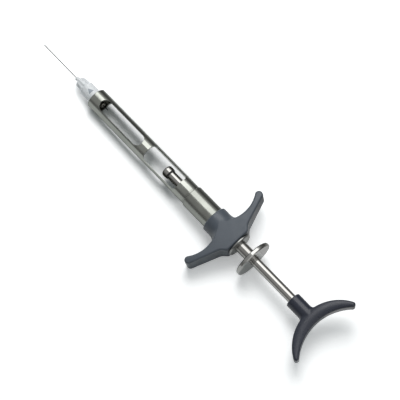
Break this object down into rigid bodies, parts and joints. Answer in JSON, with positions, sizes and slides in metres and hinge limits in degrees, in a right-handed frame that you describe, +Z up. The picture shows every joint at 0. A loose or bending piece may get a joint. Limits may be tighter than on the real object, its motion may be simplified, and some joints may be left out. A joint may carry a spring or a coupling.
{
  "type": "dental aspirating syringe",
  "caption": "Side-loading dental syringe with a windowed barrel, fitted needle, winged finger grip, sprung thumb disc and sliding plunger with a crescent palm rest.",
  "frame": {"origin": "middle of the barrel's flat front face, where the needle hub seats", "axes": "+X along the syringe from the needle to the palm rest; +Z up through the viewing window; the loading slot faces -Z and the wings of the finger grip reach along Y"},
  "size_m": [0.2217, 0.054, 0.022],
  "materials": {
    "barrel": "polished nickel plate",
    "boss": "polished nickel plate",
    "housing": "polished nickel plate",
    "hub": "translucent moulded plastic",
    "needle": "drawn stainless tube",
    "cup": "turned and plated",
    "rubber": "moulded rubber",
    "sleeve": "polished",
    "spring": "bare spring wire",
    "washer": "bare steel",
    "snap_ring": "phosphated spring steel",
    "grip": "satin moulded plastic",
    "dark_washer": "fibre washer",
    "nut": "turned and plated",
    "disc": "fine turned face",
    "rod": "mirror polished",
    "tip": "polished",
    "palm": "satin moulded plastic",
    "insert": "turned brass"
  },
  "bodies": {
    "barrel": {"barrel_tube": "barrel", "nose_boss": "boss", "rear_housing": "housing", "finger_grip": "grip", "lock_washer": "dark_washer", "end_nut": "nut", "return_spring": "spring"},
    "needle": {"needle_hub": "hub", "needle_cannula": "needle"},
    "sleeve": {"sleeve_tube": "sleeve", "pressure_cup": "cup", "rod_friction_ring": "rubber", "thrust_washer": "washer", "retaining_ring": "snap_ring", "thumb_disc": "disc"},
    "plunger": {"plunger_rod": "rod", "plunger_tip": "tip", "bumper_ring": "rubber"},
    "palm": {"palm_rest": "palm", "palm_insert": "insert"}
  },
  "joints": [
    {"name": "needle_mount", "type": "slide", "parent": "barrel", "child": "needle", "axis": [-1, 0, 0], "range_m": [0, 0.03]},
    {"name": "sleeve_slide", "type": "slide", "parent": "barrel", "child": "sleeve", "axis": [-1, 0, 0], "range_m": [0, 0.0025], "stiffness_N_per_m": 1200, "springref_m": -0.0005, "deforming": ["return_spring"]},
    {"name": "plunger_slide", "type": "slide", "parent": "sleeve", "child": "plunger", "axis": [1, 0, 0], "range_m": [-0.0278, 0.0125]},
    {"name": "palm_turn", "type": "hinge", "parent": "plunger", "child": "palm", "pos_m": [0.158, 0, 0], "axis": [1, 0, 0], "continuous": true}
  ]
}
